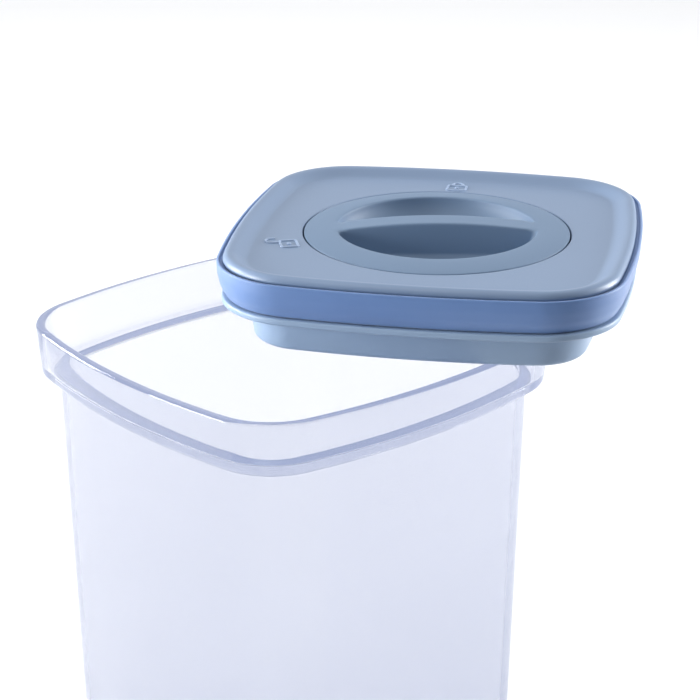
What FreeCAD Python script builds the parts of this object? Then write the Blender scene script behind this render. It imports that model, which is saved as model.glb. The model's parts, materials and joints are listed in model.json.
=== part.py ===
"""Clear storage canister with a twist-lock lid.

Frame: millimetres, +Z up, origin at the middle of the canister's flat base, X and Y square to its sides.
The lid is modelled where it lies at rest: flat on the rim, pushed towards one corner and turned, unlocked.
Inside the lid, heights are measured from the plane of the cover's lower edge ("lid level", z = 0 there).
"""
import FreeCAD, Part
import math
import os

V = FreeCAD.Vector

# ---- canister ----
HEIGHT = 165.0            # base to rim
RIM_HALF = 55.2           # half width of the rim, outside, at the middle of a side
RIM_CORNER = 19.0         # corner radius of the rim, outside
SIDE_RADIUS = 191.0       # large radius of the bowed sides at the rim
WALL = 2.4
FLOOR = 3.2
BODY_TOP_HALF = 49.7      # body just under the collar, outside
BODY_BASE_HALF = 46.3     # body at the base, outside
COLLAR_BASE_HALF = 54.2   # collar at its lower edge, outside
COLLAR_HEIGHT = 13.9
LEDGE_DEPTH = 11.5        # rim to the ledge that the lid's flange lands on
MOUTH_HALF = RIM_HALF - WALL
LEDGE_HALF = 51.9
RIM_ROUND = 0.9
COLLAR_ROUND = 2.0
BASE_ROUND = 3.0

# ---- where the lid lies ----
LID_X, LID_Y = 38.0, -13.4
LID_TURN = -51.6          # degrees about +Z
REST_GAP = 0.3            # between the tub and the rim

# ---- lid outline ----
COVER_HALF = 50.9
LID_CORNER = 20.9         # corner radius of the cover
LID_SIDE_RADIUS = 277.0

# ---- lid levels ----
CREST_Z = 2.1             # top of the cover's raised border
FIELD_Z = 0.0             # flat inner field, and the knob's outer edge
PLATE_Z = -1.5            # underside of the plate inside the border
PLATE_HALF = 47.3
SEAL_TOP, SEAL_BOTTOM = -0.3, -8.3
SEAL_LIP = 0.45           # top of the lip that stands round the cover's edge
SEAL_GAP = 0.75           # dark gap between the cover's edge and that lip
FLANGE_TOP, FLANGE_BOTTOM = -8.45, -10.2
TUB_BOTTOM = -19.6
TUB_FLOOR_TOP = TUB_BOTTOM + 1.8
LID_LEVEL = HEIGHT + REST_GAP - TUB_BOTTOM

# ---- twist lock ----
LOCK_ANGLE = 100.5        # clockwise turn of the knob from open to locked
BAR_TURN = 10.5           # open place of the bar, degrees from the lid's x axis
LOCK_LIFT = 2.0           # rise of the tub over that turn
KNOB_R = 34.3
WELL_R = 34.7
WELL_WALL = 1.6
WELL_FLOOR_TOP, WELL_FLOOR_BOTTOM = -8.0, -9.6
POCKET_R = 25.8
POCKET_FLOOR_R = 24.0
POCKET_FLOOR_Z = -6.0
POCKET_EDGE_Z = 1.2
BAR_HALF_WIDTH = 3.65
BAR_TOP_Z = 3.2
BAR_END_Z = 1.5
SHELL = 1.4
STEM_R, STEM_HOLE_R = 8.0, 8.3
HUB_R = 9.5
LUG_R, LUG_SPREAD = 15.0, 24.0
LUG_TOP, LUG_BOTTOM = -13.05, -14.25
COLLAR_IN_R, COLLAR_OUT_R, RAMP_IN_R = 16.0, 17.8, 11.0
COLLAR_TOP = -11.9
RAMP_THIN = 1.0
RAMP_STEP = 6.0           # degrees of one ramp step
EAR_R, EAR_PAD_R = 20.0, 3.0
EAR_TOP, EAR_BOTTOM = -13.2, -14.6
PIN_AT, PIN_R, PIN_CLEARANCE = 34.0, 1.5, 0.08
CARRIER_OUT, CARRIER_IN = 47.4, 44.2
CARRIER_BOTTOM = -5.5
CARRIER_SCREW_AT = 45.8
CARRIER_SCREW_TOP = -0.6
SEAL_INNER = 47.6


def place_in_lid(shape):
    """Move a shape drawn about the lid's own axis to where the lid lies."""
    placed = shape.copy()
    turn = FreeCAD.Rotation(V(0, 0, 1), LID_TURN)
    placed.Placement = FreeCAD.Placement(V(LID_X, LID_Y, LID_LEVEL), turn)
    return placed


def bowed_square(half, z, corner, side_radius):
    """Closed wire of a square with bowed sides: four long side arcs, tangent to four corner arcs."""
    centre_back = side_radius - half
    spread = side_radius - corner
    corner_at = (-centre_back + math.sqrt(2 * spread ** 2 - centre_back ** 2)) / 2
    side_end = math.atan2(corner_at, corner_at + centre_back)
    edges = []
    for quarter in range(4):
        turn = FreeCAD.Rotation(V(0, 0, 1), 90 * quarter)

        def on_side(angle):
            flat = V(side_radius * math.cos(angle) - centre_back, side_radius * math.sin(angle), 0)
            return turn.multVec(flat) + V(0, 0, z)

        def on_corner(angle):
            flat = V(corner_at + corner * math.cos(angle), corner_at + corner * math.sin(angle), 0)
            return turn.multVec(flat) + V(0, 0, z)

        edges.append(Part.Arc(on_side(-side_end), on_side(0), on_side(side_end)).toShape())
        ends = (side_end, math.pi / 4, math.pi / 2 - side_end)
        edges.append(Part.Arc(*[on_corner(angle) for angle in ends]).toShape())
    return Part.Wire(edges)


def canister_wire(half, z):
    offset = half - RIM_HALF
    return bowed_square(half, z, RIM_CORNER + offset, SIDE_RADIUS + offset)


def lid_wire(half, z):
    offset = half - COVER_HALF
    return bowed_square(half, z, LID_CORNER + offset, LID_SIDE_RADIUS + offset)


def stack(wire_at, sections):
    """Solid through (half width, height) sections of the same outline."""
    return Part.makeLoft([wire_at(half, z) for half, z in sections], True, True)


def disc(radius, bottom, top, x=0.0, y=0.0):
    return Part.makeCylinder(radius, top - bottom, V(x, y, bottom))


def ring(outer, inner, bottom, top):
    return disc(outer, bottom, top).cut(disc(inner, bottom, top))


def sector(outer, inner, bottom, top, start, spread):
    """Piece of a ring from the angle start, spread degrees wide."""
    height = top - bottom
    whole = Part.makeCylinder(outer, height, V(0, 0, bottom), V(0, 0, 1), spread)
    core = Part.makeCylinder(inner, height, V(0, 0, bottom))
    piece = whole.cut(core)
    piece.rotate(V(0, 0, 0), V(0, 0, 1), start)
    return piece


def fuse(first, others):
    result = first
    for other in others:
        result = result.fuse(other)
    return result.removeSplitter()


def flat_edges(shape, z):
    """Edges of a shape that lie wholly at one height."""
    near = 1e-4
    return [e for e in shape.Edges if abs(e.BoundBox.ZMin - z) < near and abs(e.BoundBox.ZMax - z) < near]


def four_ways(radius, start=0.0):
    angles = [math.radians(start + 90 * quarter) for quarter in range(4)]
    return [(radius * math.cos(angle), radius * math.sin(angle)) for angle in angles]


def make_canister_body():
    body = stack(canister_wire, [(BODY_BASE_HALF, 0), (BODY_TOP_HALF, HEIGHT - COLLAR_HEIGHT)])
    body = body.makeFillet(BASE_ROUND, flat_edges(body, 0))
    collar = stack(canister_wire, [(COLLAR_BASE_HALF, HEIGHT - COLLAR_HEIGHT), (RIM_HALF, HEIGHT)])
    collar = collar.makeFillet(COLLAR_ROUND, flat_edges(collar, HEIGHT - COLLAR_HEIGHT))
    collar = collar.makeFillet(RIM_ROUND, flat_edges(collar, HEIGHT))
    ledge = HEIGHT - LEDGE_DEPTH
    inside = [(BODY_BASE_HALF - WALL, FLOOR), (BODY_TOP_HALF - WALL, ledge + 0.01)]
    cavity = stack(canister_wire, inside)
    cavity = cavity.makeFillet(BASE_ROUND, flat_edges(cavity, FLOOR))
    mouth = stack(canister_wire, [(LEDGE_HALF, ledge), (MOUTH_HALF, HEIGHT + 0.01)])
    return body.fuse(collar).cut(cavity).cut(mouth).removeSplitter()


def make_top_cover():
    cover = stack(lid_wire, [(COVER_HALF, 0), (COVER_HALF, CREST_Z)])
    cover = cover.makeFillet(1.3, flat_edges(cover, CREST_Z))
    cover = cover.fuse(stack(lid_wire, [(PLATE_HALF, PLATE_Z), (PLATE_HALF, 0.5)]))
    dish = stack(lid_wire, [(44.5, FIELD_Z), (49.3, CREST_Z + 0.01)])
    cover = cover.cut(dish)
    well = disc(WELL_R + WELL_WALL, WELL_FLOOR_BOTTOM, FIELD_Z)
    bosses = [disc(3.4, -7.0, -0.6, x, y) for x, y in pin_places()]
    cover = fuse(cover, [well] + bosses)
    cover = cover.cut(disc(WELL_R, WELL_FLOOR_TOP, FIELD_Z + 1)).cut(disc(STEM_HOLE_R, -20, 0))
    cuts = [disc(PIN_R, -7.0, -1.0, x, y) for x, y in pin_places()]
    cuts += [disc(1.0, PLATE_Z - 0.1, CARRIER_SCREW_TOP, x, y) for x, y in four_ways(CARRIER_SCREW_AT)]
    for cut in cuts:
        cover = cover.cut(cut)
    return cover


def pin_places():
    return [(sx * PIN_AT, sy * PIN_AT) for sx in (-1, 1) for sy in (-1, 1)]


def make_seal_carrier():
    outer = stack(lid_wire, [(CARRIER_OUT, CARRIER_BOTTOM), (CARRIER_OUT, PLATE_Z)])
    inner = stack(lid_wire, [(CARRIER_IN, CARRIER_BOTTOM - 1), (CARRIER_IN, 1)])
    carrier = outer.cut(inner)
    for x, y in four_ways(CARRIER_SCREW_AT):
        carrier = carrier.cut(disc(1.0, CARRIER_BOTTOM, PLATE_Z, x, y))
        carrier = carrier.cut(disc(1.4, CARRIER_BOTTOM, CARRIER_BOTTOM + 1.0, x, y))
    return carrier


def make_carrier_screws():
    screws = []
    for x, y in four_ways(CARRIER_SCREW_AT):
        head = disc(1.4, CARRIER_BOTTOM, CARRIER_BOTTOM + 1.0, x, y)
        screws.append(head.fuse(disc(1.0, CARRIER_BOTTOM, CARRIER_SCREW_TOP, x, y)).removeSplitter())
    return Part.makeCompound(screws)


def make_silicone_seal():
    outside = [(50.2, SEAL_BOTTOM), (51.2, -6.4), (51.9, -4.2), (52.35, -2.0), (52.5, SEAL_LIP)]
    inside = [(SEAL_INNER, SEAL_BOTTOM - 1), (SEAL_INNER, SEAL_LIP)]
    seat = [(COVER_HALF + SEAL_GAP, SEAL_TOP), (COVER_HALF + SEAL_GAP, SEAL_LIP + 0.1)]
    return stack(lid_wire, outside).cut(stack(lid_wire, inside)).cut(stack(lid_wire, seat))


def make_guide_pins():
    return Part.makeCompound([disc(PIN_R, -14.2, -1.0, x, y) for x, y in pin_places()])


def knob_dish(side):
    """Hollow of one finger pocket, a half moon beside the bar; side is +1 or -1."""
    wall = BAR_HALF_WIDTH
    cone = Part.makeCone(POCKET_FLOOR_R, POCKET_R, POCKET_EDGE_Z - POCKET_FLOOR_Z, V(0, 0, POCKET_FLOOR_Z))
    cone = cone.fuse(disc(POCKET_R, POCKET_EDGE_Z, 10))
    keep = Part.makeBox(80, 40, 30, V(-40, wall if side > 0 else -wall - 40, -15))
    return cone.common(keep)


def make_turn_knob():
    bottom = POCKET_FLOOR_Z - SHELL
    rim = disc(KNOB_R, -3.5, FIELD_Z)
    crown = Part.makeCone(KNOB_R, POCKET_R, POCKET_EDGE_Z - FIELD_Z, V(0, 0, FIELD_Z))
    bowl = Part.makeCone(POCKET_FLOOR_R + SHELL, POCKET_R + SHELL, POCKET_EDGE_Z - bottom, V(0, 0, bottom))
    outer = fuse(rim, [crown, bowl])
    arch = Part.Arc(V(-POCKET_R, 0, BAR_END_Z), V(0, 0, BAR_TOP_Z), V(POCKET_R, 0, BAR_END_Z)).toShape()
    corners = [V(-POCKET_R, 0, BAR_END_Z), V(-POCKET_R, 0, 0), V(POCKET_R, 0, 0), V(POCKET_R, 0, BAR_END_Z)]
    face = Part.Face(Part.Wire([arch] + Part.makePolygon(corners).Edges))
    bar = face.extrude(V(0, 2 * BAR_HALF_WIDTH, 0))
    bar.translate(V(0, -BAR_HALF_WIDTH, 0))
    bar = bar.common(disc(POCKET_R, -1, 10))
    knob = fuse(outer, [bar])
    for side in (1, -1):
        knob = knob.cut(knob_dish(side))
    skirt_gap = disc(KNOB_R - SHELL, -3.6, FIELD_Z - SHELL).cut(disc(POCKET_R + SHELL, -3.7, FIELD_Z))
    bar_hollow = Part.makeBox(42, 2 * BAR_HALF_WIDTH - 2 * SHELL, 7.8, V(-21, SHELL - BAR_HALF_WIDTH, bottom))
    knob = knob.cut(skirt_gap).cut(bar_hollow)
    knob.rotate(V(0, 0, 0), V(0, 0, 1), BAR_TURN)
    knob = fuse(knob, [disc(STEM_R, -10.2, POCKET_FLOOR_Z)])
    groove = ring(STEM_R + 1, 7.0, -9.5, -8.1)
    knob = knob.cut(groove)
    for x in (-4.5, 4.5):
        knob = knob.cut(disc(1.0, -10.2, -6.4, x, 0))
    return knob


def make_stem_o_ring():
    return Part.makeTorus(7.62, 0.6, V(0, 0, -8.8))


def make_thrust_washer():
    return ring(10.4, STEM_R + 0.2, -10.15, WELL_FLOOR_BOTTOM - 0.05)


def make_knob_cam():
    hub = disc(HUB_R, LUG_BOTTOM, -10.2)
    lugs = [sector(LUG_R, 5.0, LUG_BOTTOM, LUG_TOP, start - LUG_SPREAD / 2, LUG_SPREAD) for start in (0, 180)]
    cam = fuse(hub, lugs)
    for x in (-4.5, 4.5):
        cam = cam.cut(disc(1.0, LUG_BOTTOM, -10.2, x, 0)).cut(disc(1.9, LUG_BOTTOM, LUG_BOTTOM + 1.1, x, 0))
    return cam


def make_knob_screws():
    screws = []
    for x in (-4.5, 4.5):
        head = disc(1.9, LUG_BOTTOM + 0.05, LUG_BOTTOM + 1.1, x, 0)
        screws.append(head.fuse(disc(1.0, LUG_BOTTOM + 0.05, -6.4, x, 0)).removeSplitter())
    return Part.makeCompound(screws)


def make_lift_collar():
    collar = ring(COLLAR_OUT_R, COLLAR_IN_R, TUB_FLOOR_TOP, COLLAR_TOP)
    ramps = []
    steps = int(round((LOCK_ANGLE + LUG_SPREAD) / RAMP_STEP))
    for start in (0, 180):
        for step in range(steps):
            turned = step * RAMP_STEP - LUG_SPREAD / 2
            drop = max(0.0, LOCK_LIFT * (turned - LUG_SPREAD / 2) / LOCK_ANGLE)
            low = COLLAR_TOP - RAMP_THIN - drop
            first = start - turned - RAMP_STEP
            ramps.append(sector(COLLAR_IN_R + 0.5, RAMP_IN_R, low, COLLAR_TOP, first, RAMP_STEP))
    ears = [disc(EAR_PAD_R, EAR_BOTTOM, EAR_TOP, x, y) for x, y in four_ways(EAR_R, 45)]
    ears = [ear.cut(disc(COLLAR_IN_R, EAR_BOTTOM - 1, EAR_TOP + 1)) for ear in ears]
    collar = fuse(collar, ramps + ears)
    for x, y in four_ways(EAR_R, 45):
        collar = collar.cut(disc(1.0, EAR_BOTTOM, EAR_TOP, x, y))
    return collar


def make_collar_screws():
    screws = []
    for x, y in four_ways(EAR_R, 45):
        shank = disc(1.0, TUB_FLOOR_TOP + 0.2, EAR_TOP, x, y)
        screws.append(shank.fuse(disc(1.9, EAR_TOP, EAR_TOP + 1.0, x, y)).removeSplitter())
    return Part.makeCompound(screws)


def make_lower_tub():
    flange = stack(lid_wire, [(51.4, FLANGE_BOTTOM), (51.4, FLANGE_TOP)])
    flange = flange.makeFillet(0.6, flat_edges(flange, FLANGE_BOTTOM) + flat_edges(flange, FLANGE_TOP))
    skirt = stack(lid_wire, [(43.3, TUB_BOTTOM), (44.3, FLANGE_BOTTOM + 0.5)])
    skirt = skirt.makeFillet(1.6, flat_edges(skirt, TUB_BOTTOM))
    hollow = stack(lid_wire, [(41.5, TUB_FLOOR_TOP), (42.5, FLANGE_TOP + 0.01)])
    tub = flange.fuse(skirt).cut(hollow)
    guides = [disc(3.6, TUB_FLOOR_TOP - 0.1, -10.2, x, y) for x, y in pin_places()]
    pads = [disc(2.1, TUB_FLOOR_TOP - 0.1, EAR_BOTTOM, x, y) for x, y in four_ways(EAR_R, 45)]
    tub = fuse(tub, guides + pads)
    for x, y in pin_places():
        tub = tub.cut(disc(PIN_R + PIN_CLEARANCE, TUB_FLOOR_TOP, -10, x, y))
    for x, y in four_ways(EAR_R, 45):
        tub = tub.cut(disc(1.0, TUB_FLOOR_TOP + 0.2, EAR_BOTTOM, x, y))
    return tub


def main():
    os.makedirs("parts", exist_ok=True)
    fixed = {"canister_body": make_canister_body}
    in_lid = {
        "top_cover": make_top_cover,
        "seal_carrier": make_seal_carrier,
        "carrier_screws": make_carrier_screws,
        "silicone_seal": make_silicone_seal,
        "guide_pins": make_guide_pins,
        "turn_knob": make_turn_knob,
        "stem_o_ring": make_stem_o_ring,
        "thrust_washer": make_thrust_washer,
        "knob_cam": make_knob_cam,
        "knob_screws": make_knob_screws,
        "lower_tub": make_lower_tub,
        "lift_collar": make_lift_collar,
        "collar_screws": make_collar_screws,
    }
    shapes = {node: make() for node, make in fixed.items()}
    shapes.update({node: place_in_lid(make()) for node, make in in_lid.items()})
    for node, shape in shapes.items():
        shape.exportStep("parts/%s.step" % node)
        print("%-16s solids %d valid %s volume %.1f cm3"
              % (node, len(shape.Solids), shape.isValid(), shape.Volume / 1000))


main()
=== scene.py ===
"""Looks of the clear canister with its twist-lock lid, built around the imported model.

Shapes are drawn in millimetres; in_canister, in_lid and in_knob put their points in the frame,
in metres.
"""
import json
import math

import bmesh
import bpy
from mathutils import Matrix, Vector
from mathutils.geometry import delaunay_2d_cdt


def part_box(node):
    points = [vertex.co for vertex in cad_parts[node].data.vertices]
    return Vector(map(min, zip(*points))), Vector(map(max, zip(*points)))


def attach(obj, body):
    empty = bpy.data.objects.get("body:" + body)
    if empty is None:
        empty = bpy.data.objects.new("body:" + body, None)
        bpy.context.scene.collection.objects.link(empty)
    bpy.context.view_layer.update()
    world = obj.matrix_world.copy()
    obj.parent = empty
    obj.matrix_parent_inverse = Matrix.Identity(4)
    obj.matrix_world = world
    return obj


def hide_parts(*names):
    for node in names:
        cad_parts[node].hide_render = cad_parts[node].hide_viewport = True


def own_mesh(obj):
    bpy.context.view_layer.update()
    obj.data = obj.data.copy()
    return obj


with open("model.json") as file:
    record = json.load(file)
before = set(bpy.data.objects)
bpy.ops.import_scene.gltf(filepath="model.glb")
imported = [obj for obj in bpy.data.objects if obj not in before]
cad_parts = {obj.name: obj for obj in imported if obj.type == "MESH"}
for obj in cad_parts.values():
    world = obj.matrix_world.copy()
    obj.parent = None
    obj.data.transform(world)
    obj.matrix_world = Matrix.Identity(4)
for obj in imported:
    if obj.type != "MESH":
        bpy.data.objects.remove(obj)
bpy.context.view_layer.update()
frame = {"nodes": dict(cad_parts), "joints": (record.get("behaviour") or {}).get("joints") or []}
MM = 0.001

# ---- places read from the frame ----
RIM_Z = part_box("canister_body")[1].z
KNOB_JOINT = [j for j in frame["joints"] if j["name"] == "knob_turn"][0]
LID_ORIGIN = Vector(KNOB_JOINT["pos_m"])
LID_TURN = math.radians(-51.6)

# ---- canister, as the CAD has it (mm) ----
RIM_HALF, RIM_CORNER, SIDE_RADIUS = 55.2, 19.0, 191.0
WALL, FLOOR = 2.4, 3.2
HEIGHT = RIM_Z / MM
LEDGE_Z = HEIGHT - 11.5                # ledge inside the collar
COLLAR_Z = HEIGHT - 13.9               # lower edge of the collar

# ---- lid, heights from the plane of the cover's lower edge (mm) ----
COVER_HALF, LID_CORNER, LID_SIDE_RADIUS = 50.9, 20.9, 277.0
CREST_Z, FIELD_Z, PLATE_Z = 2.1, 0.0, -1.5
CREST_HALF, FIELD_HALF, PLATE_HALF = 49.4, 44.4, 47.3
FLAT_HALF = 43.0                       # inside this the field is level
EDGE_DROP = 1.7                        # height of the roll outside the crest
WELL_FLOOR_TOP, WELL_FLOOR_BOTTOM, WELL_WALL = -8.0, -9.6, 1.6
SEAL_INNER, SEAL_TOP, SEAL_BOTTOM, SEAL_LIP = 47.6, -0.3, -8.3, 0.45
FLANGE_HALF, FLANGE_TOP, FLANGE_BOTTOM = 51.4, -8.45, -10.2
TUB_FLOOR_TOP, TUB_BOTTOM = -17.8, -19.6
KNOB_R, WELL_R = 34.3, 34.7
POCKET_R, BAR_HALF_WIDTH = 25.8, 3.65
POCKET_EDGE_Z, POCKET_FLOOR_Z = 1.2, -6.0
BAR_TOP_Z, BAR_END_Z = 3.2, 1.5
BAR_TURN = math.radians(10.5)
KNOB_LIP = 2.0                         # width of the band at the knob's outer edge
POCKET_ROLL = 0.55                     # radius of the rolled edge round a pocket
SHELL, SKIRT_BOTTOM, STEM_R, STEM_BOTTOM = 1.4, -3.5, 8.0, -10.2

SIDE_STEPS, CORNER_STEPS = 40, 28      # points along a side and round a corner


# ---------------------------------------------------------------- shapes
def bowed_square(half, corner, side_radius):
    """Outline of a square with bowed sides, as (x, y) points; every outline has the same number."""
    back = side_radius - half
    spread = side_radius - corner
    corner_at = (-back + math.sqrt(2 * spread ** 2 - back ** 2)) / 2
    end = math.atan2(corner_at, corner_at + back)
    quarter = []
    for step in range(SIDE_STEPS):
        angle = -end + 2 * end * step / SIDE_STEPS
        quarter.append((side_radius * math.cos(angle) - back, side_radius * math.sin(angle)))
    for step in range(CORNER_STEPS):
        angle = end + (math.pi / 2 - 2 * end) * step / CORNER_STEPS
        quarter.append((corner_at + corner * math.cos(angle), corner_at + corner * math.sin(angle)))
    points = []
    for turn in range(4):
        cos_t, sin_t = math.cos(turn * math.pi / 2), math.sin(turn * math.pi / 2)
        points += [(x * cos_t - y * sin_t, x * sin_t + y * cos_t) for x, y in quarter]
    return points


def canister_outline(half):
    offset = half - RIM_HALF
    return bowed_square(half, max(RIM_CORNER + offset, 1.0), SIDE_RADIUS + offset)


def lid_outline(half):
    offset = half - COVER_HALF
    return bowed_square(half, max(LID_CORNER + offset, 1.0), LID_SIDE_RADIUS + offset)


def circle_like(outline, radius):
    """The points of an outline moved onto a circle, each along its own direction."""
    return [(x * radius / math.hypot(x, y), y * radius / math.hypot(x, y)) for x, y in outline]


def rounded(corners, steps=6):
    """Profile through (a, b, radius) corners, each turned into an arc of its radius."""
    profile = []
    for index, (a, b, radius) in enumerate(corners):
        if radius == 0 or index in (0, len(corners) - 1):
            profile.append((a, b))
            continue
        here = Vector((a, b))
        before = (Vector(corners[index - 1][:2]) - here).normalized()
        after = (Vector(corners[index + 1][:2]) - here).normalized()
        half_angle = before.angle(after) / 2
        start = here + before * (radius / math.tan(half_angle))
        centre = here + (before + after).normalized() * (radius / math.sin(half_angle))
        swing = start - centre
        finish = here + after * (radius / math.tan(half_angle)) - centre
        sweep = swing.angle_signed(finish)
        for step in range(steps + 1):
            turned = Matrix.Rotation(-sweep * step / steps, 2) @ swing
            profile.append(tuple(centre + turned))
    return profile


def piece(name, bm, material, body, node=None, smooth=True, sharp=None):
    """Finish a piece: mesh object from bm, with its material, body and node."""
    bmesh.ops.recalc_face_normals(bm, faces=bm.faces)
    mesh = bpy.data.meshes.new(name)
    bm.to_mesh(mesh)
    bm.free()
    for polygon in mesh.polygons:
        polygon.use_smooth = smooth
    if sharp is not None:
        mesh.set_sharp_from_angle(angle=math.radians(sharp))
    made = bpy.data.objects.new(name, mesh)
    bpy.context.scene.collection.objects.link(made)
    mesh.materials.append(material)
    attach(made, body)
    if node:
        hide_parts(*([node] if isinstance(node, str) else node))
    return made


def in_lid(x, y, z):
    """A point drawn about the lid's own axis, in the frame (mm in, metres out)."""
    cos_t, sin_t = math.cos(LID_TURN), math.sin(LID_TURN)
    turned = Vector((x * cos_t - y * sin_t, x * sin_t + y * cos_t, z))
    return LID_ORIGIN + turned * MM


def in_knob(x, y, z):
    """As in_lid, for a point drawn square to the knob's bar."""
    cos_t, sin_t = math.cos(BAR_TURN), math.sin(BAR_TURN)
    return in_lid(x * cos_t - y * sin_t, x * sin_t + y * cos_t, z)


def in_canister(x, y, z):
    return Vector((x, y, z)) * MM


def add_loop(bm, place, outline, z):
    return [bm.verts.new(place(x, y, z)) for x, y in outline]


def bridge(bm, first, second):
    count = len(first)
    for i in range(count):
        j = (i + 1) % count
        bm.faces.new((first[i], first[j], second[j], second[i]))


def skin(bm, place, loops, closed=False):
    """Quads through a list of (outline, z) loops."""
    rings = [add_loop(bm, place, outline, z) for outline, z in loops]
    for first, second in zip(rings, rings[1:]):
        bridge(bm, first, second)
    if closed:
        bridge(bm, rings[-1], rings[0])
    return rings


def cap(bm, place, loop, z, outline, shares=(0.9, 0.75, 0.5, 0.25)):
    """Flat disc inside a loop, in rings that shrink to a point."""
    last = loop
    for share in shares:
        ring = add_loop(bm, place, [(x * share, y * share) for x, y in outline], z)
        bridge(bm, last, ring)
        last = ring
    middle = bm.verts.new(place(0, 0, z))
    for i, vert in enumerate(last):
        bm.faces.new((vert, last[(i + 1) % len(last)], middle))


# ---------------------------------------------------------------- materials
def new_material(name):
    material = bpy.data.materials.new(name)
    material.use_nodes = True
    nodes = material.node_tree.nodes
    shader = nodes["Principled BSDF"]
    return material, nodes, material.node_tree.links, shader


def noise(nodes, links, scale, detail=3.0, rough=0.5):
    coords = nodes.new("ShaderNodeTexCoord")
    texture = nodes.new("ShaderNodeTexNoise")
    texture.inputs["Scale"].default_value = scale
    texture.inputs["Detail"].default_value = detail
    texture.inputs["Roughness"].default_value = rough
    links.new(coords.outputs["Object"], texture.inputs["Vector"])
    return texture


def ramp(nodes, links, source, low, high, start=0.3, end=0.7):
    made = nodes.new("ShaderNodeValToRGB")
    made.color_ramp.elements[0].position = start
    made.color_ramp.elements[1].position = end
    made.color_ramp.elements[0].color = (*low, 1)
    made.color_ramp.elements[1].color = (*high, 1)
    links.new(source, made.inputs["Fac"])
    return made


def spread(nodes, links, source, low, high):
    made = nodes.new("ShaderNodeMapRange")
    made.inputs["To Min"].default_value = low
    made.inputs["To Max"].default_value = high
    links.new(source, made.inputs["Value"])
    return made.outputs["Result"]


def grain_bump(nodes, links, shader, texture, strength, distance):
    bump = nodes.new("ShaderNodeBump")
    bump.inputs["Strength"].default_value = strength
    bump.inputs["Distance"].default_value = distance
    links.new(texture.outputs["Fac"], bump.inputs["Height"])
    links.new(bump.outputs["Normal"], shader.inputs["Normal"])


def moulded_plastic(name, low, high, rough=(0.34, 0.44), grain=2600.0, strength=0.05):
    """Satin moulded plastic: slight colour drift, fine spark-eroded grain."""
    material, nodes, links, shader = new_material(name)
    drift = noise(nodes, links, 18.0)
    tone = ramp(nodes, links, drift.outputs["Fac"], low, high)
    links.new(tone.outputs["Color"], shader.inputs["Base Color"])
    fine = noise(nodes, links, grain, detail=2.0)
    links.new(spread(nodes, links, fine.outputs["Fac"], *rough), shader.inputs["Roughness"])
    grain_bump(nodes, links, shader, fine, strength, 0.00004)
    shader.inputs["Specular IOR Level"].default_value = 0.6
    return material


def silicone(name, low, high):
    """Soft matte silicone with a faint bloom and hardly any grain."""
    material, nodes, links, shader = new_material(name)
    drift = noise(nodes, links, 30.0)
    tone = ramp(nodes, links, drift.outputs["Fac"], low, high)
    links.new(tone.outputs["Color"], shader.inputs["Base Color"])
    fine = noise(nodes, links, 900.0, detail=4.0)
    links.new(spread(nodes, links, fine.outputs["Fac"], 0.38, 0.48), shader.inputs["Roughness"])
    grain_bump(nodes, links, shader, fine, 0.04, 0.00006)
    shader.inputs["Sheen Weight"].default_value = 0.45
    shader.inputs["Sheen Roughness"].default_value = 0.5
    shader.inputs["Sheen Tint"].default_value = (0.7, 0.8, 1.0, 1)
    shader.inputs["Subsurface Weight"].default_value = 0.08
    shader.inputs["Subsurface Radius"].default_value = (0.0006, 0.0009, 0.0015)
    return material


CLEAR_DENSITY = 145.0                  # per metre
LAVENDER = (0.37, 0.43, 0.65, 1)


def clear_plastic(name):
    """Clear moulded plastic. A long way through it fades to lavender: it absorbs, and glows by as much,
    which stands in for light scattered in the wall."""
    material, nodes, links, shader = new_material(name)
    shader.inputs["Base Color"].default_value = (1, 1, 1, 1)
    shader.inputs["Transmission Weight"].default_value = 1.0
    shader.inputs["IOR"].default_value = 1.38
    haze = noise(nodes, links, 14.0, detail=2.0)
    links.new(spread(nodes, links, haze.outputs["Fac"], 0.0, 0.03), shader.inputs["Roughness"])
    ripple = noise(nodes, links, 24.0, detail=1.0)
    grain_bump(nodes, links, shader, ripple, 0.05, 0.0002)
    absorb = nodes.new("ShaderNodeVolumeAbsorption")
    absorb.inputs["Color"].default_value = (0, 0, 0, 1)
    absorb.inputs["Density"].default_value = CLEAR_DENSITY
    haze_glow = nodes.new("ShaderNodeEmission")
    haze_glow.inputs["Color"].default_value = LAVENDER
    haze_glow.inputs["Strength"].default_value = CLEAR_DENSITY
    both = nodes.new("ShaderNodeAddShader")
    links.new(absorb.outputs["Volume"], both.inputs[0])
    links.new(haze_glow.outputs["Emission"], both.inputs[1])
    links.new(both.outputs["Shader"], nodes["Material Output"].inputs["Volume"])
    return material


def metal(name, colour):
    material, nodes, links, shader = new_material(name)
    shader.inputs["Metallic"].default_value = 1.0
    brushed = noise(nodes, links, 1400.0, detail=5.0)
    bright = tuple(min(1.0, channel * 1.15) for channel in colour)
    tone = ramp(nodes, links, brushed.outputs["Fac"], colour, bright)
    links.new(tone.outputs["Color"], shader.inputs["Base Color"])
    links.new(spread(nodes, links, brushed.outputs["Fac"], 0.25, 0.4), shader.inputs["Roughness"])
    return material


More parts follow.
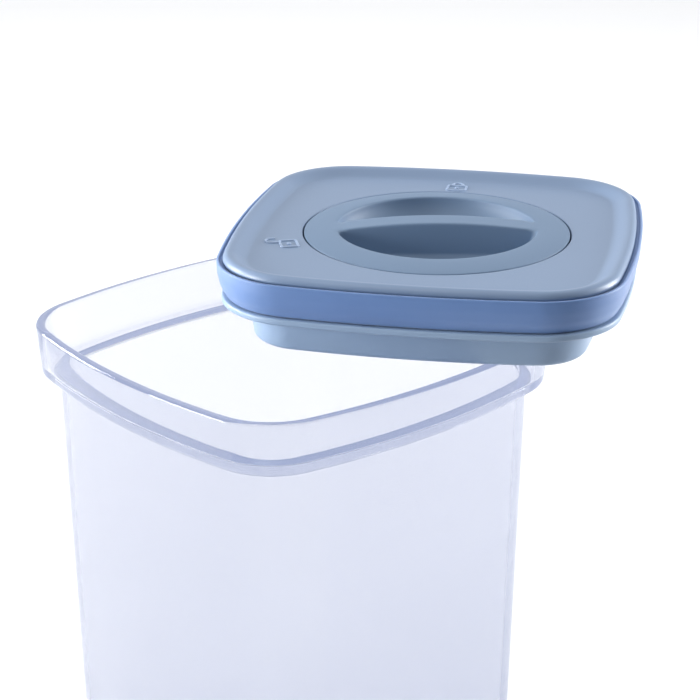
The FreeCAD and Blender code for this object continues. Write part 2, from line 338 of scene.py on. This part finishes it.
def painted_shade_paper(name, away):
    """Floor paper with painted shade: it fades from near white behind the canister to dark grey on the
    camera's side.
    """
    material, nodes, links, shader = new_material(name)
    coords = nodes.new("ShaderNodeTexCoord")
    depth = nodes.new("ShaderNodeVectorMath")
    depth.operation = "DOT_PRODUCT"
    depth.inputs[1].default_value = away
    links.new(coords.outputs["Object"], depth.inputs[0])
    fade = nodes.new("ShaderNodeMapRange")
    fade.inputs["From Min"].default_value = -0.45
    fade.inputs["From Max"].default_value = 1.0
    links.new(depth.outputs["Value"], fade.inputs["Value"])
    # painted shade: dark grey on the camera's side, near white behind the canister
    front, back = (0.28, 0.29, 0.31), (0.98, 0.98, 0.985)
    tone = ramp(nodes, links, fade.outputs["Result"], front, back, 0.0, 1.0)
    for position, level in ((0.32, 0.70), (0.62, 0.82)):
        tone.color_ramp.elements.new(position).color = (level, level, level * 1.01, 1)
    links.new(tone.outputs["Color"], shader.inputs["Base Color"])
    shader.inputs["Roughness"].default_value = 0.9
    shader.inputs["Specular IOR Level"].default_value = 0.1
    return material


COVER = moulded_plastic("cover_plastic", (0.172, 0.248, 0.382), (0.185, 0.263, 0.398))
TUB = moulded_plastic("tub_plastic", (0.245, 0.345, 0.490), (0.260, 0.362, 0.508))
DIAL = moulded_plastic("dial_plastic", (0.136, 0.212, 0.328), (0.148, 0.226, 0.344),
                       rough=(0.50, 0.60))
SEAL = silicone("seal_silicone", (0.108, 0.205, 0.435), (0.120, 0.220, 0.460))
CLEAR = clear_plastic("clear_plastic")
INNER = moulded_plastic("inner_plastic", (0.70, 0.70, 0.67), (0.76, 0.76, 0.73))
STEEL = metal("screw_steel", (0.55, 0.55, 0.57))
RUBBER = silicone("ring_rubber", (0.012, 0.012, 0.014), (0.02, 0.02, 0.022))
RELIEF = moulded_plastic("relief_plastic", (0.30, 0.40, 0.57), (0.32, 0.42, 0.59))


# ---------------------------------------------------------------- canister
def make_canister():
    corners = [
        (41.0, 0.0, 0),
        (46.3, 0.0, 3.0),
        (49.7, COLLAR_Z, 1.0),
        (54.2, COLLAR_Z, 2.0),
        (RIM_HALF, HEIGHT, 0.95),
        (RIM_HALF - WALL, HEIGHT, 0.95),
        (51.9, LEDGE_Z, 0.7),
        (47.3, LEDGE_Z, 0.9),
        (43.9, FLOOR, 3.0),
        (39.0, FLOOR, 0),
    ]
    profile = rounded(corners, steps=8)
    bm = bmesh.new()
    rings = skin(bm, in_canister, [(canister_outline(half), z) for half, z in profile])
    for ring, (half, z) in ((rings[0], profile[0]), (rings[-1], profile[-1])):
        cap(bm, in_canister, ring, z, canister_outline(half))
    return piece("canister_shell", bm, CLEAR, "canister", "canister_body")


# ---------------------------------------------------------------- lid
def make_cover():
    outline = lid_outline
    underside = ((PLATE_HALF, PLATE_Z), (PLATE_HALF, 0.0), (COVER_HALF - 0.2, 0.0))
    loops = [(outline(half), z) for half, z in underside]
    for step in range(9):
        angle = math.pi / 2 * step / 8
        half = CREST_HALF + (COVER_HALF - CREST_HALF) * math.cos(angle)
        loops.append((outline(half), CREST_Z - EDGE_DROP + EDGE_DROP * math.sin(angle)))
    for step in range(1, 15):
        share = step / 14
        height = FIELD_Z + (CREST_Z - FIELD_Z) * (1 + math.cos(math.pi * share)) / 2
        loops.append((outline(CREST_HALF + (FIELD_HALF - CREST_HALF) * share), height))
    well = rounded([
        (WELL_R + 1.2, FIELD_Z, 0),
        (WELL_R, FIELD_Z, 0.35),
        (WELL_R, WELL_FLOOR_TOP, 0.5),
        (8.3, WELL_FLOOR_TOP, 0.2),
        (8.3, WELL_FLOOR_BOTTOM, 0.2),
        (WELL_R + WELL_WALL, WELL_FLOOR_BOTTOM, 0.8),
        (WELL_R + WELL_WALL, PLATE_Z, 0.5),
        (WELL_R + 4.0, PLATE_Z, 0),
    ], steps=5)
    field = outline(FLAT_HALF)
    loops.append((field, FIELD_Z))
    rim_circle = circle_like(field, WELL_R + 1.2)
    for share in (0.25, 0.5, 0.75):
        mixed = [(a[0] + (b[0] - a[0]) * share, a[1] + (b[1] - a[1]) * share)
                 for a, b in zip(field, rim_circle)]
        loops.append((mixed, FIELD_Z))
    loops += [(circle_like(field, radius), z) for radius, z in well]
    bm = bmesh.new()
    skin(bm, in_lid, loops, closed=True)
    return piece("cover_shell", bm, COVER, "lid", "top_cover", sharp=60)


def make_seal():
    profile = rounded([
        (SEAL_INNER, SEAL_TOP, 0.2),
        (51.65, SEAL_TOP, 0.15),
        (51.75, SEAL_LIP, 0.3),
        (52.5, SEAL_LIP, 0.35),
        (52.35, -2.6, 6.0),
        (51.7, -5.6, 5.0),
        (50.2, SEAL_BOTTOM, 0.9),
        (SEAL_INNER, SEAL_BOTTOM, 0.3),
    ], steps=6)
    bm = bmesh.new()
    skin(bm, in_lid, [(lid_outline(half), z) for half, z in profile], closed=True)
    made = piece("seal_band", bm, SEAL, "lid", "silicone_seal")
    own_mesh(made)
    return made


def make_tub():
    profile = rounded([
        (38.0, TUB_BOTTOM, 0),
        (43.3, TUB_BOTTOM, 1.8),
        (44.3, FLANGE_BOTTOM, 0.8),
        (FLANGE_HALF, FLANGE_BOTTOM, 0.55),
        (FLANGE_HALF, FLANGE_TOP, 0.55),
        (42.5, FLANGE_TOP, 0.3),
        (41.5, TUB_FLOOR_TOP, 0.5),
        (36.0, TUB_FLOOR_TOP, 0),
    ], steps=6)
    bm = bmesh.new()
    rings = skin(bm, in_lid, [(lid_outline(half), z) for half, z in profile])
    for ring, (half, z) in ((rings[0], profile[0]), (rings[-1], profile[-1])):
        cap(bm, in_lid, ring, z, lid_outline(half))
    return piece("tub_shell", bm, TUB, "tub", "lower_tub")


# ---------------------------------------------------------------- knob
def knob_top(x, y):
    """Height of the knob's upper surface: a ring that rises inward, and an arched bar across it."""
    radius = math.hypot(x, y)
    ring_share = min(1.0, max(0.0, (KNOB_R - radius) / (KNOB_R - POCKET_R)))
    ring = FIELD_Z + (POCKET_EDGE_Z - FIELD_Z) * math.sin(ring_share * math.pi / 2)
    if radius > POCKET_R:
        return ring
    arch = 1 - (x / POCKET_R) ** 2
    return max(ring, BAR_END_Z - 0.3 + (BAR_TOP_Z - BAR_END_Z + 0.3) * arch)


def half_moon(side, line, radius, corner=1.3, steps=14):
    """Outline of a half moon: straight edge at y = line, arc of the radius, both ends rounded."""
    corner = min(corner, (radius - line) * 0.45)
    centre_y = line + corner
    centre_x = math.sqrt((radius - corner) ** 2 - centre_y ** 2)
    turn = math.atan2(centre_y, centre_x)
    points = []
    for step in range(40):
        points.append((-centre_x + 2 * centre_x * step / 40, line))
    for step in range(steps):
        angle = -math.pi / 2 + (turn + math.pi / 2) * step / steps
        points.append((centre_x + corner * math.cos(angle), centre_y + corner * math.sin(angle)))
    for step in range(90):
        angle = turn + (math.pi - 2 * turn) * step / 90
        points.append((radius * math.cos(angle), radius * math.sin(angle)))
    for step in range(steps):
        angle = math.pi - turn + (turn + math.pi / 2) * step / steps
        points.append((-centre_x + corner * math.cos(angle), centre_y + corner * math.sin(angle)))
    return [(x * side, y * side) for x, y in points]


def pocket_loops(side):
    """Loops from the pocket's rolled edge down its walls to its floor: (outline, share of the depth)."""
    loops = []
    for step in range(5):
        angle = math.pi / 2 * step / 4
        inward = POCKET_ROLL * math.sin(angle)
        fall = POCKET_ROLL * (1 - math.cos(angle))
        edge = half_moon(side, BAR_HALF_WIDTH - POCKET_ROLL + inward, POCKET_R + POCKET_ROLL - inward)
        loops.append((edge, fall))
    depth = POCKET_EDGE_Z - POCKET_FLOOR_Z
    for step in range(1, 17):
        share = step / 16
        fall = POCKET_ROLL + (depth - POCKET_ROLL) * math.sin(share * math.pi / 2)
        scoop = (9.0 if side > 0 else 6.5) * (1 - math.cos(share * math.pi / 2))
        bar_wall = 0.5 * share + 1.2 * max(0.0, share - 0.7) / 0.3
        wall = half_moon(side, BAR_HALF_WIDTH + bar_wall, POCKET_R - 0.8 * share - scoop)
        loops.append((wall, fall))
    return loops


def make_knob():
    bm = bmesh.new()
    edges = {}
    depth = POCKET_EDGE_Z - POCKET_FLOOR_Z
    for side in (1, -1):
        last = None
        for outline, fall in pocket_loops(side):
            ring = []
            for x, y in outline:
                top = knob_top(*first_at(x, y, side))
                on_wall = fall > POCKET_ROLL
                z = top - fall * (top - POCKET_FLOOR_Z) / depth if on_wall else top - fall
                ring.append(bm.verts.new(in_knob(x, y, z)))
            if last:
                bridge(bm, last, ring)
            else:
                edges[side] = (ring, outline)
            last = ring
        bm.faces.new(last)
    rim = rounded([
        (KNOB_R - KNOB_LIP, FIELD_Z + 0.4, 0),
        (KNOB_R, FIELD_Z, 0.3),
        (KNOB_R, SKIRT_BOTTOM, 0.2),
        (KNOB_R - SHELL, SKIRT_BOTTOM, 0.2),
        (KNOB_R - SHELL, -SHELL, 0.3),
        (27.2, -SHELL, 0.3),
        (25.4, -7.4, 0.6),
        (STEM_R, -7.4, 0.3),
        (STEM_R, STEM_BOTTOM, 0.2),
    ], steps=5)
    turns = [2 * math.pi * i / 160 for i in range(160)]
    circle = [(math.cos(angle), math.sin(angle)) for angle in turns]
    outer = [([(x * radius, y * radius) for x, y in circle], z) for radius, z in rim]
    first_outline = outer[0][0]
    rings = skin(bm, in_knob, [(first_outline, knob_top(KNOB_R - KNOB_LIP, 0))] + outer[1:])
    bm.faces.new(rings[-1])
    fill_top(bm, rings[0], first_outline, edges)
    return piece("knob_dial", bm, DIAL, "knob", "turn_knob", sharp=50)


def first_at(x, y, side):
    """Where to read the top surface for a wall point: out at the pocket's edge."""
    if y * side < BAR_HALF_WIDTH + 2.0 and abs(x) < POCKET_R - 2.0:
        return x, (BAR_HALF_WIDTH - POCKET_ROLL) * side
    radius = math.hypot(x, y)
    stretch = (POCKET_R + POCKET_ROLL) / radius if radius else 1.0
    return x * max(1.0, stretch), y * max(1.0, stretch)


def fill_top(bm, outer_ring, outer_outline, edges):
    """Surface between the knob's outer ring and its pockets, with points enough to carry its curve."""
    verts, points, loops = [], [], []
    for ring, outline in [(outer_ring, outer_outline)] + list(edges.values()):
        start = len(points)
        verts += ring
        points += [Vector(point) for point in outline]
        loops.append(list(range(start, len(points))))
    for radius in (27.2, 28.2, 29.2, 30.2, 31.3):
        for i in range(150):
            angle = 2 * math.pi * (i + 0.5 * (int(radius * 10) % 2)) / 150
            points.append(Vector((radius * math.cos(angle), radius * math.sin(angle))))
    for row in range(-2, 3):
        for column in range(-30, 31):
            points.append(Vector((column * 0.82, row * 1.1)))
    pocket = half_moon(1, BAR_HALF_WIDTH - POCKET_ROLL, POCKET_R + POCKET_ROLL)
    known = len(verts)
    segments = [(loop[i], loop[(i + 1) % len(loop)]) for loop in loops for i in range(len(loop))]
    found, _, faces, origin, _, _ = delaunay_2d_cdt(points, segments, [], 0, 1e-6)
    made = {}
    for index, sources in enumerate(origin):
        old = [s for s in sources if s < known]
        if old:
            made[index] = verts[old[0]]
        else:
            x, y = found[index]
            made[index] = bm.verts.new(in_knob(x, y, knob_top(x, y)))
    for face in faces:
        centre = sum((found[i] for i in face), Vector((0, 0))) / len(face)
        beyond = centre.length > KNOB_R - KNOB_LIP
        past_bar = abs(centre.y) > BAR_HALF_WIDTH - POCKET_ROLL
        in_pocket = past_bar and inside(pocket, centre.x, abs(centre.y))
        if not beyond and not in_pocket:
            try:
                bm.faces.new([made[i] for i in face])
            except ValueError:
                pass
    loose = [v for v in bm.verts if not v.link_faces]
    bmesh.ops.delete(bm, geom=loose, context="VERTS")


def inside(outline, x, y):
    """Whether a point lies in a closed outline."""
    within = False
    for (x0, y0), (x1, y1) in zip(outline, outline[1:] + outline[:1]):
        if (y0 > y) != (y1 > y) and x < (x1 - x0) * (y - y0) / (y1 - y0) + x0:
            within = not within
    return within


# ---------------------------------------------------------------- padlock reliefs
def relief(name, strokes, at, turn, size=1.35, radius=0.33):
    """Raised line figure on the cover: each stroke, a run of (x, y) points, is a half-sunk bead."""
    curve = bpy.data.curves.new(name, "CURVE")
    curve.dimensions = "3D"
    curve.bevel_depth = radius * MM
    curve.bevel_resolution = 3
    cos_t, sin_t = math.cos(turn), math.sin(turn)
    for stroke, closed in strokes:
        line = curve.splines.new("POLY")
        line.points.add(len(stroke) - 1)
        line.use_cyclic_u = closed
        for point, (x, y) in zip(line.points, stroke):
            px = at[0] + size * (x * cos_t - y * sin_t)
            py = at[1] + size * (x * sin_t + y * cos_t)
            point.co = (*in_lid(px, py, FIELD_Z + 0.02), 1)
    shape = bpy.data.objects.new(name + "_line", curve)
    bpy.context.scene.collection.objects.link(shape)
    bpy.context.view_layer.update()
    mesh = bpy.data.meshes.new_from_object(shape.evaluated_get(bpy.context.evaluated_depsgraph_get()))
    bpy.data.objects.remove(shape)
    bm = bmesh.new()
    bm.from_mesh(mesh)
    bpy.data.meshes.remove(mesh)
    return piece(name, bm, RELIEF, "lid", None)


def arc(cx, cy, radius, start, end, steps=12):
    turns = [math.radians(start + (end - start) * i / steps) for i in range(steps + 1)]
    return [(cx + radius * math.cos(t), cy + radius * math.sin(t)) for t in turns]


def padlock(open_shackle):
    """Strokes of a small padlock: rounded body, shackle, keyhole dot."""
    body = arc(1.4, -1.1, 0.5, -90, 0) + arc(1.4, 1.1, 0.5, 0, 90)
    body += arc(-1.4, 1.1, 0.5, 90, 180) + arc(-1.4, -1.1, 0.5, 180, 270)
    keyhole = arc(0, 0, 0.25, 0, 330, 8)
    if open_shackle:
        shackle = [(1.1, 1.6), (1.1, 3.0)] + arc(2.3, 3.0, 1.2, 180, 0) + [(3.5, 2.2)]
    else:
        shackle = [(-1.1, 1.6), (-1.1, 2.2)] + arc(0, 2.2, 1.1, 180, 0) + [(1.1, 2.2), (1.1, 1.6)]
    return [(body, True), (keyhole, True), (shackle, False)]


# ---------------------------------------------------------------- studio
def make_floor(away):
    bm = bmesh.new()
    reach = 6.0
    corners = [(-reach, -reach), (reach, -reach), (reach, reach), (-reach, reach)]
    bm.faces.new([bm.verts.new((x, y, 0.0)) for x, y in corners])
    mesh = bpy.data.meshes.new("studio_floor")
    bm.to_mesh(mesh)
    bm.free()
    floor = bpy.data.objects.new("studio_floor", mesh)
    bpy.context.scene.collection.objects.link(floor)
    mesh.materials.append(painted_shade_paper("painted_shade_paper", away))


def area_light(name, place, target, size, watts, colour=(1, 1, 1)):
    light = bpy.data.lights.new(name, "AREA")
    light.energy = watts
    light.shape = "RECTANGLE"
    light.size, light.size_y = size
    light.color = colour
    lamp = bpy.data.objects.new(name, light)
    lamp.location = place
    lamp.rotation_euler = (Vector(target) - Vector(place)).to_track_quat("-Z", "Y").to_euler()
    bpy.context.scene.collection.objects.link(lamp)


VIEW_TURN = math.radians(-41.13)       # the camera's azimuth, looking along +Y at zero
VIEW_DROP = math.radians(21.30)        # how far the camera looks down
# from the middle of the rim, before the azimuth turn
CAMERA_OFFSET = Vector((15.0, -489.1, 183.3)) * MM
FOCAL_MM, SENSOR_MM = 105.25, 36.0


def make_camera():
    data = bpy.data.cameras.new("camera")
    data.lens = FOCAL_MM
    data.sensor_width = SENSOR_MM
    camera = bpy.data.objects.new("camera", data)
    turn = Matrix.Rotation(VIEW_TURN, 3, "Z")
    camera.location = Vector((0, 0, RIM_Z)) + turn @ CAMERA_OFFSET
    camera.rotation_euler = (math.pi / 2 - VIEW_DROP, 0, VIEW_TURN)
    data.clip_start = 0.01
    bpy.context.scene.collection.objects.link(camera)
    bpy.context.scene.camera = camera
    return turn


def make_world(bright_way):
    """Studio walls as a smooth surround: bright behind the canister, dim on the camera's side."""
    world = bpy.data.worlds.new("studio_world")
    world.use_nodes = True
    nodes, links = world.node_tree.nodes, world.node_tree.links
    background = nodes["Background"]
    background.inputs["Color"].default_value = (0.97, 0.98, 1.0, 1)
    coords = nodes.new("ShaderNodeTexCoord")
    facing = nodes.new("ShaderNodeVectorMath")
    facing.operation = "DOT_PRODUCT"
    facing.inputs[1].default_value = bright_way
    links.new(coords.outputs["Generated"], facing.inputs[0])
    level = nodes.new("ShaderNodeMapRange")
    level.interpolation_type = "SMOOTHSTEP"
    level.inputs["From Min"].default_value = -0.9
    level.inputs["From Max"].default_value = 0.5
    level.inputs["To Min"].default_value = 0.22
    level.inputs["To Max"].default_value = 0.90
    links.new(facing.outputs["Value"], level.inputs["Value"])
    links.new(level.outputs["Result"], background.inputs["Strength"])
    bpy.context.scene.world = world


def make_lights(turn):
    middle = Vector((0, 0, RIM_Z))
    lights = (
        ("key_left", (-1.15, -0.27, 0.12), (0.5, 0.5), 16.0, (1.0, 0.99, 0.98)),
        ("edge_left", (-0.9, 0.34, 0.16), (0.3, 0.5), 9.0, (1.0, 1.0, 1.0)),
        ("edge_right", (0.9, 0.30, 0.16), (0.3, 0.5), 10.0, (0.98, 0.99, 1.0)),
        ("top_front", (-0.25, -0.45, 0.9), (0.25, 0.25), 1.2, (1.0, 1.0, 1.0)),
        ("top_soft", (0.0, 0.8, 2.1), (4.0, 3.0), 8.0, (1.0, 1.0, 1.0)),
    )
    for name, place, size, watts, colour in lights:
        area_light(name, middle + turn @ Vector(place), middle, size, watts, colour)
    make_world(turn @ Vector((0.0, 0.95, 0.3)).normalized())


bpy.context.scene.view_settings.view_transform = "Standard"
TURN = make_camera()
make_lights(TURN)
make_floor(TURN @ Vector((0, 1, 0)))

make_canister()
make_cover()
make_seal()
make_tub()
make_knob()
relief("open_padlock_relief", padlock(True), (-35.3, -17.6), math.radians(110))
relief("closed_padlock_relief", padlock(False), (0.0, 38.4), 0.0)

INNER_LOOKS = {
    INNER: ("seal_carrier", "knob_cam", "lift_collar", "thrust_washer"),
    STEEL: ("guide_pins", "carrier_screws", "knob_screws", "collar_screws"),
    RUBBER: ("stem_o_ring",),
}
for look, names in INNER_LOOKS.items():
    for name in names:
        frame["nodes"][name].data.materials.clear()
        frame["nodes"][name].data.materials.append(look)
